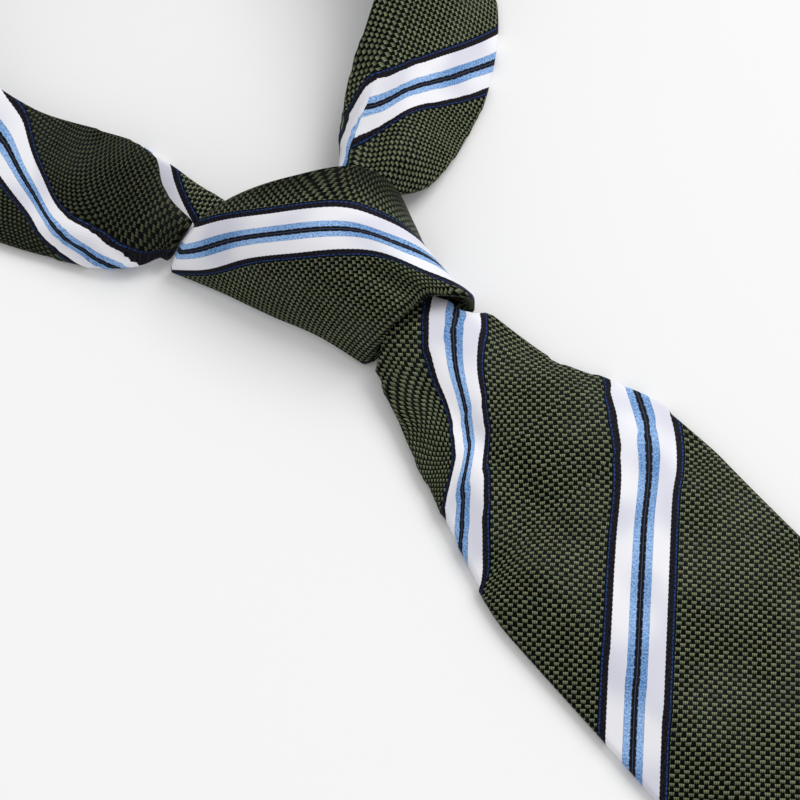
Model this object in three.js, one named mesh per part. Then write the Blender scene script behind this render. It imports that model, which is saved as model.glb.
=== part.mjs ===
// A silk necktie, tied in a plain four-in-hand knot and lying face up on a flat surface.
// Millimetres, +Z up. The origin is on the knot's flat back. The front blade runs along -Y
// and the neck loop lies towards +Y.
// The silk is folded round its own edges over an interlining, so every stretch of the tie
// is a closed padded band.

import * as THREE from 'three';

const CLOTH = 2.8;
const TAIL_CLOTH = 2.4;
const WRAP_CLOTH = 2.6;
const GAP = 0.34;
const TIP_ANGLE_RUN = 1.0;
const CREASE = 2.4;
const DENT_WIDTH = 3.2;
const ACROSS_STEPS = 8;
const SECTION_STEPS = 48;
const LONGEST_STEP = 14;
const SHORT_STEP = 4;
const LEAST_STEP = 0.6;
const PROBE = 0.5;
const ROLL_STEPS = [0, 0.12, 0.45];
const WIDEST_ROLL = 0.4;

const BLADE_TIP = -491;
const BLADE_TIP_HALF_WIDTH = 40;
const TAIL_TIP = -351;
const TAIL_TIP_HALF_WIDTH = 19;
const BLUNT = 0.6;
const POINT_STEPS = [0.04, 0.35, 0.7, 1];

// A row is a section of a band. x, y: the middle of its main panel. The cloth runs from the
// right-hand edge of the way it travels to the left-hand one, in three panels with their
// widths and their slopes in degrees. arch: how far the main panel turns from side to side.
// dent: depth of a soft fold that lies dentAt from the right-hand edge. lift: the height of
// the section's lowest point.
const COLUMNS = ['x', 'y', 'right', 'main', 'left', 'rightSlope', 'mainSlope', 'leftSlope',
  'arch', 'dent', 'dentAt', 'lift'];

// The blade travels from the knot to its tip, so its right-hand edge is at -X.
const BLADE_ROWS = [
  [0.5, -1, 2, 11, 2, 10, 0, -10, 10, 0, 8, 9.8],
  [0.7, -14, 1.8, 12, 2, 25, 0, -25, 30, 0, 8, 7.3],
  [0.7, -20.6, 2.2, 10.6, 2, 40, 3, -38, 36, 0.3, 6, 5.0],
  [0.7, -23, 7.1, 12.8, 2.4, 38, 3, -44, 40, 0.5, 8, 3.2],
  [0.7, -26, 8.1, 13.2, 3.2, 34, 3, -46, 42, 0.6, 9, 2.6],
  [0.6, -27.9, 8.4, 14.8, 7.4, 33, 3, -38, 40, 0.8, 9, 2.2],
  [0.4, -35, 6.7, 18, 8, 30, 2, -34, 36, 1.0, 10, 1.3],
  [-0.2, -45, 6.4, 24, 7.2, 26, 1, -32, 30, 1.4, 13, 0.6],
  [0, -57, 8, 29.8, 9.6, 22, 1, -26, 22, 1.2, 17, 0.2],
  [0.8, -70, 10, 34.5, 10.5, 18, 0, -19, 16, 0.8, 20, 0],
  [0.3, -82, 12, 33.5, 12, 17, 0, -17, 12, 0.4, 22, 0],
  [0, -104, 12, 33.8, 12, 17, 0, -17, 9, 0, 24, 0],
  [0, -160, 12, 37.5, 12, 16, 0, -16, 7, 0, 24, 0],
  [0, -330, 14, 45, 14, 14, 0, -14, 6, 0, 24, 0],
  [0, -352, 14, 47, 14, 11, 0, -11, 5, 0, 24, 0],
  [0, -385, 14, 49, 14, 3, 0, -3, 4, 0, 24, 0],
  [0, -451, 12, 56, 12, 2, 0, -2, 3, 0, 24, 0],
];

// The tail travels the same way, under the blade.
const TAIL_ROWS = [
  [1.0, 2, 2, 8, 2, 0, 0, 0, 0, 0, 8, 3.0],
  [1.4, -24.5, 2, 6, 2, 0, 0, 0, 0, 0, 8, 3.0],
  [0.5, -34, 2, 9, 2, 0, 0, 0, 0, 0, 8, 0.4],
  [0.4, -44, 2, 15, 2, 0, 0, 0, 0, 0, 8, 0],
  [0, -80, 2, 24, 2, 0, 0, 0, 0, 0, 8, 0],
  [0, -332, 2, 34, 2, 0, 0, 0, 0, 0, 8, 0],
];

// The neck loop travels round the neck from the knot's right side back to its left side, so
// its left-hand edge is the one at the neck and stands up where the band turns on edge.
const NECK_ROWS = [
  [6.5, 5.2, 2, 5, 1, 25, 15, -10, 10, 0, 8, 8.9],
  [13.0, 7.8, 3.2, 6, 3.4, 48, 20, -40, 20, 0.6, 9, 6.9],
  [22.0, 11.0, 9, 11, 7, 48, 18, -50, 26, 1.8, 18, 2.2],
  [31.4, 16.2, 12, 12, 7.8, 44, 24, -40, 24, 1.4, 21, 0.6],
  [42.4, 22.2, 12, 14, 6, 42, 31, 0, 16, 0.3, 24, 0],
  [54.2, 30.8, 12, 14, 6, 46, 38, 26, 12, 0, 24, 0],
  [73, 53, 10, 12, 10, 66, 60, 52, 10, 0, 16, 0],
  [82, 82, 10, 12, 10, 78, 74, 70, 8, 0, 16, 0],
  [77, 117, 10, 12, 10, 80, 78, 76, 6, 0, 16, 0],
  [55, 146, 10, 12, 10, 80, 78, 76, 6, 0, 16, 0],
  [20, 158, 10, 12, 10, 80, 78, 76, 6, 0, 16, 0],
  [-15, 150, 10, 12, 10, 79, 76, 72, 6, 0, 16, 0],
  [-39, 126, 10, 12, 10, 70, 62, 54, 8, 0, 16, 0],
  [-47, 95, 8, 14, 9, 50, 36, 24, 10, 0, 16, 0],
  [-39.8, 63.6, 5.4, 18.5, 5.5, 34, 10, 2, 14, 0, 12, 0],
  [-28.6, 42.0, 7, 16.5, 6.2, 48, 8, -4, 14, 0.8, 10, 0.4],
  [-25.8, 36.2, 8.4, 13, 5.6, 54, 9, -9, 16, 1.2, 11, 1.0],
  [-24.4, 33, 9, 9.6, 2.8, 56, 10, -12, 16, 1.4, 12, 1.6],
  [-21.9, 27.4, 6, 4, 1.5, 52, 30, -10, 16, 0.4, 8, 2.2],
  [-21.6, 25, 5, 4, 1.5, 50, 32, 0, 10, 0, 8, 2.4],
];
const NECK_SEAMS = [0.34, 0.62];
const SEAM_LEAN = 1.0;

// The pass comes up from under the left strap and goes down inside the knot.
const PASS_ROWS = [
  [-18, 48, 2, 6, 2, 0, 0, 0, 0, 0, 8, 0],
  [-17.3, 38, 2, 8.5, 2, 0, 0, -8, 0, 0, 8, 0.3],
  [-15.4, 28, 1.5, 7.5, 1.5, 5, 2, -15, 5, 0, 8, 3.6],
  [-12.6, 19.5, 1.5, 5, 1.5, 10, 0, -10, 10, 0, 8, 7.4],
  [-4, 9, 2, 10, 2, 10, 0, -10, 10, 0, 8, 9.8],
];

// A row is a ring of the sleeve that wraps the knot, from its lower rim (0) to its upper
// rim (1): its edges at the table, its height, how far its crest lies towards +X (1 would
// be the edge), and how steadily it falls from there to the left wing (1 is round).
const WRAP_COLUMNS = ['t', 'left', 'right', 'height', 'crest', 'fall'];
const WRAP_ROWS = [
  [0, -11.2, 14.2, 16, 0.2, 1.7],
  [0.25, -14.0, 13.4, 18, 0.2, 1.4],
  [0.5, -18.7, 13.9, 19.5, 0.25, 1.3],
  [0.75, -23.0, 16.0, 20.3, 0.3, 1.4],
  [1, -28.0, 18.4, 20.4, 0.42, 1.55],
];
const WRAP_RIGHT_FALL = 0.75;
const WRAP_SQUARENESS = 0.9;
const WRAP_FOOT_RISE = 0.1;
const WRAP_FOOT_PART = 0.94;
const WRAP_LENGTH = 43;
const WRAP_RINGS = 12;
const WRAP_SIDES = 18;
const WRAP_FLOOR_SIDES = 5;
const RIM_ROLL = 1.3;

// The rims, over the width from the left wing (0) to the right side (1). Each runs straight
// at y up to the part where its bend begins, and reaches y + drop at the part where it ends.
const LOWER_RIM = { y: -20.5, drop: -5.6, begins: 0.55, ends: 1 };
const UPPER_RIM = { y: 23.3, drop: -18.5, begins: 0.1, ends: 1.25 };
// On the right side the upper rim also leans back towards its foot.
const RIM_LEAN = { drop: -8, begins: 0.7, ends: 1 };
// A soft dent runs up from the lower rim and fades out by the ring where it ends.
const WRAP_DENT = { depth: 1.3, at: 0.56, lean: -0.35, halfWidth: 0.09, fades: 0.15, ends: 0.55 };

function table(columns, rows) {
  return rows.map((row) => Object.fromEntries(columns.map((name, i) => [name, row[i]])));
}

// Cubic curve through one column of a table. keepLevel stops it from overshooting.
function follow(rows, key, column, at, keepLevel = true) {
  const last = rows.length - 1;
  let i = 0;
  while (i < last - 1 && at > rows[i + 1][key]) i += 1;
  const rise = (k) => (rows[k + 1][column] - rows[k][column]) / (rows[k + 1][key] - rows[k][key]);
  const slope = (k) => {
    if (k === 0) return rise(0);
    if (k === last) return rise(last - 1);
    const before = rise(k - 1);
    const after = rise(k);
    if (!keepLevel) return (before + after) / 2;
    return before * after > 0 ? 2 * before * after / (before + after) : 0;
  };
  const span = rows[i + 1][key] - rows[i][key];
  const u = THREE.MathUtils.clamp((at - rows[i][key]) / span, 0, 1);
  const u2 = u * u;
  const u3 = u2 * u;
  return (2 * u3 - 3 * u2 + 1) * rows[i][column] + (u3 - 2 * u2 + u) * span * slope(i)
    + (3 * u2 - 2 * u3) * rows[i + 1][column] + (u3 - u2) * span * slope(i + 1);
}

// Rows of a band, each with its distance from the first one along the middle.
function bandTable(rows) {
  const band = table(COLUMNS, rows);
  band.forEach((row, i) => {
    const before = band[Math.max(i - 1, 0)];
    row.at = i ? before.at + Math.hypot(row.x - before.x, row.y - before.y) : 0;
  });
  return band;
}

function smoothStep(value) {
  const u = THREE.MathUtils.clamp(value, 0, 1);
  return u * u * (3 - 2 * u);
}

// The cloth's section at one place: points across the table and above it, in the middle of
// its thickness, worked out by following the slope from edge to edge.
function sectionAt(band, at) {
  const row = Object.fromEntries(COLUMNS.map(
    (name) => [name, follow(band, 'at', name, at, name !== 'x' && name !== 'y')]));
  const width = row.right + row.main + row.left;
  const step = width / SECTION_STEPS;
  const points = [];
  let across = 0;
  let height = 0;
  for (let k = 0; k <= SECTION_STEPS; k += 1) {
    const q = k * step;
    const inMain = THREE.MathUtils.clamp((q - row.right) / row.main, 0, 1);
    let slope = row.mainSlope - row.arch * (inMain - 0.5);
    slope = THREE.MathUtils.lerp(row.rightSlope, slope, smoothStep((q - row.right) / CREASE + 0.5));
    slope = THREE.MathUtils.lerp(slope, row.leftSlope,
      smoothStep((q - row.right - row.main) / CREASE + 0.5));
    const angle = THREE.MathUtils.degToRad(slope);
    points.push({ across, height, angle });
    across += Math.cos(angle) * step;
    height += Math.sin(angle) * step;
  }
  const middle = points[Math.round((row.right + row.main / 2) / step)].across;
  points.forEach((point, k) => {
    point.across -= middle;
    point.height -= row.dent * Math.exp(-(((k * step - row.dentAt) / DENT_WIDTH) ** 2));
  });
  return { ...row, width, points };
}

// One point of the band's skin. part runs from 0 to 1 across the cloth, side is 1 for the
// face and -1 for the back.
function skinPoint(section, part, side, cloth) {
  const k = part * SECTION_STEPS;
  const i = Math.min(Math.floor(k), SECTION_STEPS - 1);
  const u = k - i;
  const a = section.points[i];
  const b = section.points[i + 1];
  const angle = THREE.MathUtils.lerp(a.angle, b.angle, u);
  const edge = Math.min(part, 1 - part) * section.width;
  const roll = Math.min(cloth / 2, section.width * WIDEST_ROLL);
  const fullness = edge < roll ? Math.sqrt(1 - (1 - edge / roll) ** 2) : 1;
  const out = side * fullness * cloth / 2;
  return new THREE.Vector2(
    THREE.MathUtils.lerp(a.across, b.across, u) - Math.sin(angle) * out,
    THREE.MathUtils.lerp(a.height, b.height, u) + Math.cos(angle) * out);
}

// Places across the cloth where the mesh has its points, close together on the rolled edges.
function stations(width, cloth) {
  const roll = Math.min(cloth / 2, width * WIDEST_ROLL) / width;
  const edge = ROLL_STEPS.map((step) => step * roll);
  const list = [...edge];
  for (let k = 0; k <= ACROSS_STEPS; k += 1) list.push(roll + (1 - 2 * roll) * k / ACROSS_STEPS);
  return [...list, ...edge.reverse().map((part) => 1 - part)];
}

// A closed ring of points round the band. lean moves the right-hand side back along the
// band and the left-hand side forward, for a seam that runs at a slant.
function bandRing(band, at, cloth, lean) {
  const here = sectionAt(band, at);
  const list = stations(here.width, cloth);
  const end = band[band.length - 1].at;
  const place = (part, side) => {
    const shift = lean * (part - 0.5) * here.width;
    const where = THREE.MathUtils.clamp(at + shift, 0, end);
    const section = shift ? sectionAt(band, where) : here;
    const lowest = Math.min(...list.flatMap((other) => [1, -1].map(
      (face) => skinPoint(section, other, face, cloth).y)));
    const before = Math.max(where - PROBE, 0);
    const after = Math.min(where + PROBE, end);
    const way = new THREE.Vector2(
      follow(band, 'at', 'x', after, false) - follow(band, 'at', 'x', before, false),
      follow(band, 'at', 'y', after, false) - follow(band, 'at', 'y', before, false)).normalize();
    const point = skinPoint(section, part, side, cloth);
    return new THREE.Vector3(section.x - way.y * point.x, section.y + way.x * point.x,
      point.y - lowest + section.lift);
  };
  const face = list.map((part) => place(part, 1));
  const back = list.slice(1, -1).map((part) => place(part, -1));
  return [...face, ...back.reverse()];
}

// Skin over rings of equal count, as one closed body. Without caps the last ring joins the
// first one.
function skin(rings, capped) {
  const count = rings[0].length;
  const positions = rings.flat().flatMap((point) => [point.x, point.y, point.z]);
  const index = [];
  const joins = capped ? rings.length - 1 : rings.length;
  for (let i = 0; i < joins; i += 1) {
    const next = (i + 1) % rings.length;
    for (let j = 0; j < count; j += 1) {
      const k = (j + 1) % count;
      index.push(i * count + j, next * count + j, next * count + k);
      index.push(i * count + j, next * count + k, i * count + k);
    }
  }
  if (capped) {
    const faceCount = (count + 2) / 2;
    const first = (rings.length - 1) * count;
    const under = (j) => (j === 0 || j === faceCount - 1 ? j : count - j);
    for (let j = 0; j < faceCount - 1; j += 1) {
      const corners = [[j, j + 1, under(j + 1)], [j, under(j + 1), under(j)]];
      corners.filter((t) => new Set(t).size === 3).forEach(([a, b, c]) => {
        index.push(a, b, c);
        index.push(first + a, first + c, first + b);
      });
    }
  }
  const geometry = new THREE.BufferGeometry();
  geometry.setAttribute('position', new THREE.Float32BufferAttribute(positions, 3));
  geometry.setIndex(index);
  geometry.computeVertexNormals();
  return geometry;
}

// Where a band's rings lie: on its rows and at equal steps between them.
function ringPlaces(band, from, to) {
  const places = [from];
  band.slice(1).forEach((row, i) => {
    const start = band[i].at;
    const span = row.at - start;
    const count = Math.max(Math.ceil(span / LONGEST_STEP), span > SHORT_STEP ? 2 : 1);
    for (let k = 1; k <= count; k += 1) places.push(start + span * k / count);
  });
  const inside = places.slice(1).filter((at) => at > from + LEAST_STEP && at < to - LEAST_STEP);
  return [from, ...inside, to];
}

function bandGeometry(band, from, to, cloth, leanFrom = 0, leanTo = 0) {
  const rings = ringPlaces(band, from, to).map((at) => {
    const lean = THREE.MathUtils.lerp(leanFrom, leanTo, (at - from) / (to - from));
    return bandRing(band, at, cloth, lean);
  });
  return skin(rings, true);
}

// A blade's pointed end: both edges run in to a tip at the middle.
function pointedRows(rows, halfWidth, tip) {
  const last = rows[rows.length - 1];
  const [x, y, right, main, left] = last;
  const width = right + main + left;
  const end = y - halfWidth * TIP_ANGLE_RUN;
  if (Math.abs(end - tip) > 1) throw new Error('the pointed end misses its tip');
  return [...rows, ...POINT_STEPS.map((u) => {
    const keep = Math.max(1 - u, BLUNT / width);
    const row = [...last];
    row[0] = x;
    row[1] = THREE.MathUtils.lerp(y, end, u);
    row[2] = right * keep;
    row[3] = main * keep;
    row[4] = left * keep;
    row[10] = width * keep / 2;
    return row;
  })];
}

function silk(color, roughness) {
  return new THREE.MeshStandardMaterial({ color, roughness, metalness: 0 });
}

const necktie = new THREE.Group();

function addPiece(name, geometry, material) {
  const mesh = new THREE.Mesh(geometry, material);
  mesh.name = name;
  necktie.add(mesh);
}

// Front blade: the wide end, folded to a point.
const blade = bandTable(pointedRows(BLADE_ROWS, BLADE_TIP_HALF_WIDTH, BLADE_TIP));
addPiece('front_blade', bandGeometry(blade, 0, blade[blade.length - 1].at, CLOTH),
  silk(0x3c4128, 0.55));

// Tail blade: the narrow end, which lies under the front one.
const tail = bandTable(pointedRows(TAIL_ROWS, TAIL_TIP_HALF_WIDTH, TAIL_TIP));
addPiece('tail_blade', bandGeometry(tail, 0, tail[tail.length - 1].at, TAIL_CLOTH),
  silk(0x3a3f27, 0.55));

// Neck loop: three lengths, joined at slanting seams as the cloth is cut on the bias.
const neck = bandTable(NECK_ROWS);
const neckLength = neck[neck.length - 1].at;
const seamPlaces = NECK_SEAMS.map((part) => part * neckLength);
const seamGap = GAP / 2 * Math.SQRT2;
addPiece('neck_right', bandGeometry(neck, 0, seamPlaces[0] - seamGap, CLOTH, 0, SEAM_LEAN),
  silk(0x3c4128, 0.55));
addPiece('neck_back', bandGeometry(neck, seamPlaces[0] + seamGap, seamPlaces[1] - seamGap,
  CLOTH, SEAM_LEAN, SEAM_LEAN), silk(0x3a3f27, 0.55));
addPiece('neck_left', bandGeometry(neck, seamPlaces[1] + seamGap, neckLength, CLOTH,
  SEAM_LEAN, 0), silk(0x3c4128, 0.55));

// Knot pass: the inner turn of cloth.
const pass = bandTable(PASS_ROWS);
addPiece('knot_pass', bandGeometry(pass, 0, pass[pass.length - 1].at, CLOTH),
  silk(0x34391f, 0.6));

// Knot wrap: the sleeve round the knot, open at both rims, with its back flat on the table.
const wrap = table(WRAP_COLUMNS, WRAP_ROWS);

function bend(shape, part) {
  return shape.drop * smoothStep((part - shape.begins) / (shape.ends - shape.begins));
}

// Depth of the dent at one place of the sleeve.
function wrapDent(t, across) {
  const off = (across - WRAP_DENT.at - WRAP_DENT.lean * t) / WRAP_DENT.halfWidth;
  const keep = smoothStep((WRAP_DENT.ends - t) / (WRAP_DENT.ends - WRAP_DENT.fades));
  return WRAP_DENT.depth * Math.exp(-(off ** 2)) * keep;
}

function wrapRing(t, inset) {
  const [left, right, height, crest, fall] = WRAP_COLUMNS.slice(1).map(
    (name) => follow(wrap, 't', name, t));
  const middle = (left + right) / 2;
  const half = (right - left) / 2;
  const point = (part, rise) => {
    const across = (part + 1) / 2;
    const lower = LOWER_RIM.y + bend(LOWER_RIM, across);
    const upper = UPPER_RIM.y + bend(UPPER_RIM, across) + bend(RIM_LEAN, across) * (1 - rise);
    return new THREE.Vector3(
      middle + (half - inset) * part,
      THREE.MathUtils.lerp(lower, upper, t),
      inset + (height - 2 * inset - wrapDent(t, across)) * rise);
  };
  const ring = [];
  for (let k = 0; k <= WRAP_SIDES; k += 1) {
    const angle = Math.PI * (1 - k / WRAP_SIDES);
    const reach = Math.abs(Math.cos(angle)) ** WRAP_SQUARENESS;
    const onLeft = k < WRAP_SIDES / 2;
    const part = onLeft ? crest - (1 + crest) * reach : crest + (1 - crest) * reach;
    const rise = Math.sin(angle) ** (onLeft ? fall : WRAP_RIGHT_FALL);
    ring.push(point(part, THREE.MathUtils.lerp(WRAP_FOOT_RISE, 1, rise)));
  }
  for (let k = 0; k <= WRAP_FLOOR_SIDES; k += 1) {
    ring.push(point(WRAP_FOOT_PART * (1 - 2 * k / WRAP_FLOOR_SIDES), 0));
  }
  return ring;
}

const wrapRings = [];
for (let k = 0; k < 2 * WRAP_RINGS; k += 1) {
  const outside = k < WRAP_RINGS;
  const along = (outside ? WRAP_RINGS - k : k - WRAP_RINGS) / WRAP_RINGS;
  const fromRim = Math.min(along, 1 - along) * WRAP_LENGTH;
  const fullness = fromRim < RIM_ROLL ? Math.sqrt(1 - (1 - fromRim / RIM_ROLL) ** 2) : 1;
  wrapRings.push(wrapRing(along, WRAP_CLOTH / 2 * (1 + (outside ? -1 : 1) * fullness)));
}
addPiece('knot_wrap', skin(wrapRings, false), silk(0x41462b, 0.55));

export default necktie;
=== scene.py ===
# A tied silk necktie that lies face up on a pale table. The sections follow the tie as it is put
# together: the wide blade, the narrow tail under it, the neck loop, the inner pass and the wrap of
# the knot, and last the table, the light and the camera.

import math

import bpy
import numpy as np
from mathutils import Matrix


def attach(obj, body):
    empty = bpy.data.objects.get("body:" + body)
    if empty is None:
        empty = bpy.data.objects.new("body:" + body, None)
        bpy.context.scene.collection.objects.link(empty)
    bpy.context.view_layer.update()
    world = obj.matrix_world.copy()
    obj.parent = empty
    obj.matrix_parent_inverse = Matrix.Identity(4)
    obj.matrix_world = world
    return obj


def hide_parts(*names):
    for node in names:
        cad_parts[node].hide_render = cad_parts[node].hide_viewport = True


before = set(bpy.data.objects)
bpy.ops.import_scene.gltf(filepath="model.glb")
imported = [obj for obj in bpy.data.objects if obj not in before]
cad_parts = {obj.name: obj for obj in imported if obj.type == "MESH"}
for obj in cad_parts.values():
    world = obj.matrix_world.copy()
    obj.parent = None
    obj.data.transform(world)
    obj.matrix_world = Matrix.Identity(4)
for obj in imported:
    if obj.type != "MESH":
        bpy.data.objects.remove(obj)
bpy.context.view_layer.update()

# FRONT BLADE
# The wide end: silk folded round both edges over an interlining, so it is a flat padded band. It
# fans out from the knot, with a long panel in the middle and a facet that falls away on each side.

# In millimetres: how thick the padded cloth is, how far a crease and a dent spread, and the steps
# of the mesh. A folded edge takes at most WIDEST_ROLL of the width, in the shares of ROLL_STEPS.
# The tip lies half the blade's width past its last row and is left BLUNT by that much.
MM = 0.001
CLOTH = 2.8
CREASE = 2.4
DENT_WIDTH = 3.2
WIDEST_ROLL = 0.4
SECTION_STEPS = 96
STEP_ALONG = 1.3
STEP_ACROSS = 1.15
ROLL_STEPS = (0.0, 0.03, 0.12, 0.28, 0.52, 0.8)
BLADE_HALF_WIDTH = 40.0
BLUNT = 0.6
POINT_STEPS = (0.04, 0.35, 0.7, 1.0)

# A row is one section of a band, in millimetres and degrees. x, y: the middle of the main panel.
# Then the widths of the three panels, their slopes, how far the main panel turns from side to
# side, a soft dent with its distance from the right-hand edge, and the height of the lowest point.
SECTION_COLUMNS = ("x", "y", "right", "main", "left", "right_slope", "main_slope", "left_slope",
                   "arch", "dent", "dent_at", "lift")
BLADE_ROWS = [
    (0.5, -1, 2, 11, 2, 10, 0, -10, 10, 0, 8, 9.8),
    (0.7, -14, 1.8, 12, 2, 25, 0, -25, 30, 0, 8, 7.3),
    (0.7, -20.6, 3.2, 10.6, 2, 40, 3, -38, 36, 0.3, 6, 5.0),
    (0.7, -23, 6.8, 12.8, 2.4, 38, 3, -44, 40, 0.5, 8, 3.2),
    (0.7, -26, 7.2, 13.2, 3.2, 34, 3, -46, 42, 0.6, 9, 2.6),
    (0.6, -27.9, 7.3, 14.8, 7.4, 33, 3, -38, 40, 0.8, 9, 2.2),
    (0.4, -35, 7.0, 18, 8, 30, 2, -34, 36, 1.0, 10, 1.3),
    (-0.2, -45, 6.9, 24, 7.2, 26, 1, -32, 30, 1.4, 13, 0.6),
    (0, -57, 8, 29.8, 9.6, 22, 1, -26, 22, 1.2, 17, 0.2),
    (0.8, -70, 10, 34.5, 10.5, 18, 0, -19, 16, 0.8, 20, 0),
    (0.3, -82, 12, 33.5, 12, 17, 0, -17, 12, 0.4, 22, 0),
    (0, -104, 12, 33.8, 12, 17, 0, -17, 9, 0, 24, 0),
    (0, -160, 12, 37.5, 12, 16, 0, -16, 7, 0, 24, 0),
    (0, -330, 14, 45, 14, 14, 0, -14, 6, 0, 24, 0),
    (0, -352, 14, 47, 14, 11, 0, -11, 5, 0, 24, 0),
    (0, -385, 14, 49, 14, 3, 0, -3, 4, 0, 24, 0),
    (0, -451, 12, 56, 12, 2, 0, -2, 3, 0, 24, 0),
]

# How the stripes lie on a band: the place across the stripes that its middle line has at each
# distance along it, how fast that grows towards the left-hand edge, and how it bends on the right,
# from BOW_FROM off the middle.
STRIPE_COLUMNS = ("at", "stripe", "slant", "bow")
BOW_FROM = 8.0
BOW_SPREAD = 20.0
BLADE_STRIPES = [
    (14, -12.3, 0.618, -0.007),
    (20, -7.8, 0.613, -0.142),
    (26, -3.3, 0.610, -0.271),
    (32, 0.6, 0.611, -0.471),
    (38, 5.0, 0.620, -0.699),
    (44, 8.4, 0.632, -0.536),
    (52, 12.9, 0.642, -0.133),
    (64, 19.5, 0.648, 0.0),
    (80, 30.3, 0.648, 0.0),
    (100, 43.6, 0.638, 0.0),
    (125, 60.3, 0.635, 0.0),
    (170, 90.0, 0.643, 0.0),
    (491, 318.5, 0.690, 0.0),
]


def ease(value):
    """From 0 to 1 with a soft start and end."""
    part = np.clip(value, 0.0, 1.0)
    return part * part * (3.0 - 2.0 * part)


def follow(table, column, at, level=True, key="at"):
    """Cubic curve through one column of a table. level stops it from overshooting."""
    keys = table[key]
    values = table[column]
    rise = np.diff(values) / np.diff(keys)
    before, after = rise[:-1], rise[1:]
    if level:
        total = np.where(before * after > 0, before + after, 1.0)
        inner = np.where(before * after > 0, 2.0 * before * after / total, 0.0)
    else:
        inner = (before + after) / 2.0
    slope = np.concatenate([rise[:1], inner, rise[-1:]])
    i = np.clip(np.searchsorted(keys, at, side="right") - 1, 0, len(keys) - 2)
    span = keys[i + 1] - keys[i]
    u = np.clip((at - keys[i]) / span, 0.0, 1.0)
    return ((2 * u**3 - 3 * u**2 + 1) * values[i] + (u**3 - 2 * u**2 + u) * span * slope[i]
            + (3 * u**2 - 2 * u**3) * values[i + 1] + (u**3 - u**2) * span * slope[i + 1])


def table_of(columns, rows):
    """The columns of a list of rows, by name."""
    array = np.array(rows, dtype=float)
    return {name: array[:, i] for i, name in enumerate(columns)}


def band_of(rows):
    """The sections of a band, each with its distance from the first one along the middle."""
    band = table_of(SECTION_COLUMNS, rows)
    steps = np.hypot(np.diff(band["x"]), np.diff(band["y"]))
    band["at"] = np.concatenate([[0.0], np.cumsum(steps)])
    return band


def with_point(rows, half_width):
    """A blade's pointed end: both edges run in to a tip at the middle."""
    x, y, right, main, left = rows[-1][:5]
    width = right + main + left
    pointed = list(rows)
    for u in POINT_STEPS:
        keep = max(1.0 - u, BLUNT / width)
        pointed.append((x, y - half_width * u, right * keep, main * keep, left * keep,
                        *rows[-1][5:10], width * keep / 2.0, rows[-1][11]))
    return pointed


def skin_points(band, at, part, side, cloth):
    """Points on a band: at along it, part from 0 to 1 across it, side 1 for face, -1 for back."""
    row = {name: follow(band, name, at, name not in ("x", "y")) for name in SECTION_COLUMNS}
    width = row["right"] + row["main"] + row["left"]
    share = np.linspace(0.0, 1.0, SECTION_STEPS + 1)[None, :]
    q = share * width[:, None]
    right = row["right"][:, None]
    main = row["main"][:, None]
    slope = row["main_slope"][:, None] - row["arch"][:, None] * (
        np.clip((q - right) / main, 0.0, 1.0) - 0.5)
    turn = ease((q - right) / CREASE + 0.5)
    slope = row["right_slope"][:, None] * (1.0 - turn) + slope * turn
    turn = ease((q - right - main) / CREASE + 0.5)
    slope = slope * (1.0 - turn) + row["left_slope"][:, None] * turn
    angle = np.radians(slope)
    step = (width / SECTION_STEPS)[:, None]
    start = np.zeros((len(at), 1))
    across = np.concatenate([start, np.cumsum(np.cos(angle[:, :-1]) * step, 1)], 1)
    height = np.concatenate([start, np.cumsum(np.sin(angle[:, :-1]) * step, 1)], 1)
    line = np.arange(len(at))
    middle = np.round((row["right"] + row["main"] / 2.0) / width * SECTION_STEPS).astype(int)
    across = across - across[line, middle][:, None]
    height = height - row["dent"][:, None] * np.exp(
        -((q - row["dent_at"][:, None]) / DENT_WIDTH) ** 2)
    roll = np.minimum(cloth / 2.0, width * WIDEST_ROLL)[:, None]

    def fullness(edge, limit):
        return np.sqrt(np.clip(1.0 - (1.0 - np.minimum(edge / limit, 1.0)) ** 2, 0.0, 1.0))

    half = fullness(np.minimum(share, 1.0 - share) * width[:, None], roll) * cloth / 2.0
    lowest = np.min(height - np.abs(np.cos(angle)) * half, 1)
    place = part * SECTION_STEPS
    i = np.minimum(np.floor(place), SECTION_STEPS - 1).astype(int)
    u = place - i

    def pick(values):
        return values[line, i] * (1.0 - u) + values[line, i + 1] * u

    here = pick(angle)
    out = side * fullness(np.minimum(part, 1.0 - part) * width, roll[:, 0]) * cloth / 2.0
    sideways = pick(across) - np.sin(here) * out
    upwards = pick(height) + np.cos(here) * out
    probe = 0.5
    before = np.maximum(at - probe, 0.0)
    after = np.minimum(at + probe, band["at"][-1])
    way_x = follow(band, "x", after, False) - follow(band, "x", before, False)
    way_y = follow(band, "y", after, False) - follow(band, "y", before, False)
    length = np.hypot(way_x, way_y)
    points = np.stack([row["x"] - way_y / length * sideways,
                       row["y"] + way_x / length * sideways,
                       upwards - lowest + row["lift"]], -1)
    return points, width, part * width - row["right"] - row["main"] / 2.0


def stripes_of(columns, rows):
    """A table of stripes, with two more columns that keep the yarns at right angles to them."""
    table = table_of(columns, rows)
    rise = np.gradient(table["stripe"], table["at"])
    reach = np.hypot(rise, table["slant"])
    turn = table["slant"] / reach
    steps = np.diff(table["at"]) * (turn[1:] + turn[:-1]) / 2.0
    table["yarn"] = -np.concatenate([[0.0], np.cumsum(steps)])
    table["yarn_slant"] = rise / reach
    return table


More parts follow.
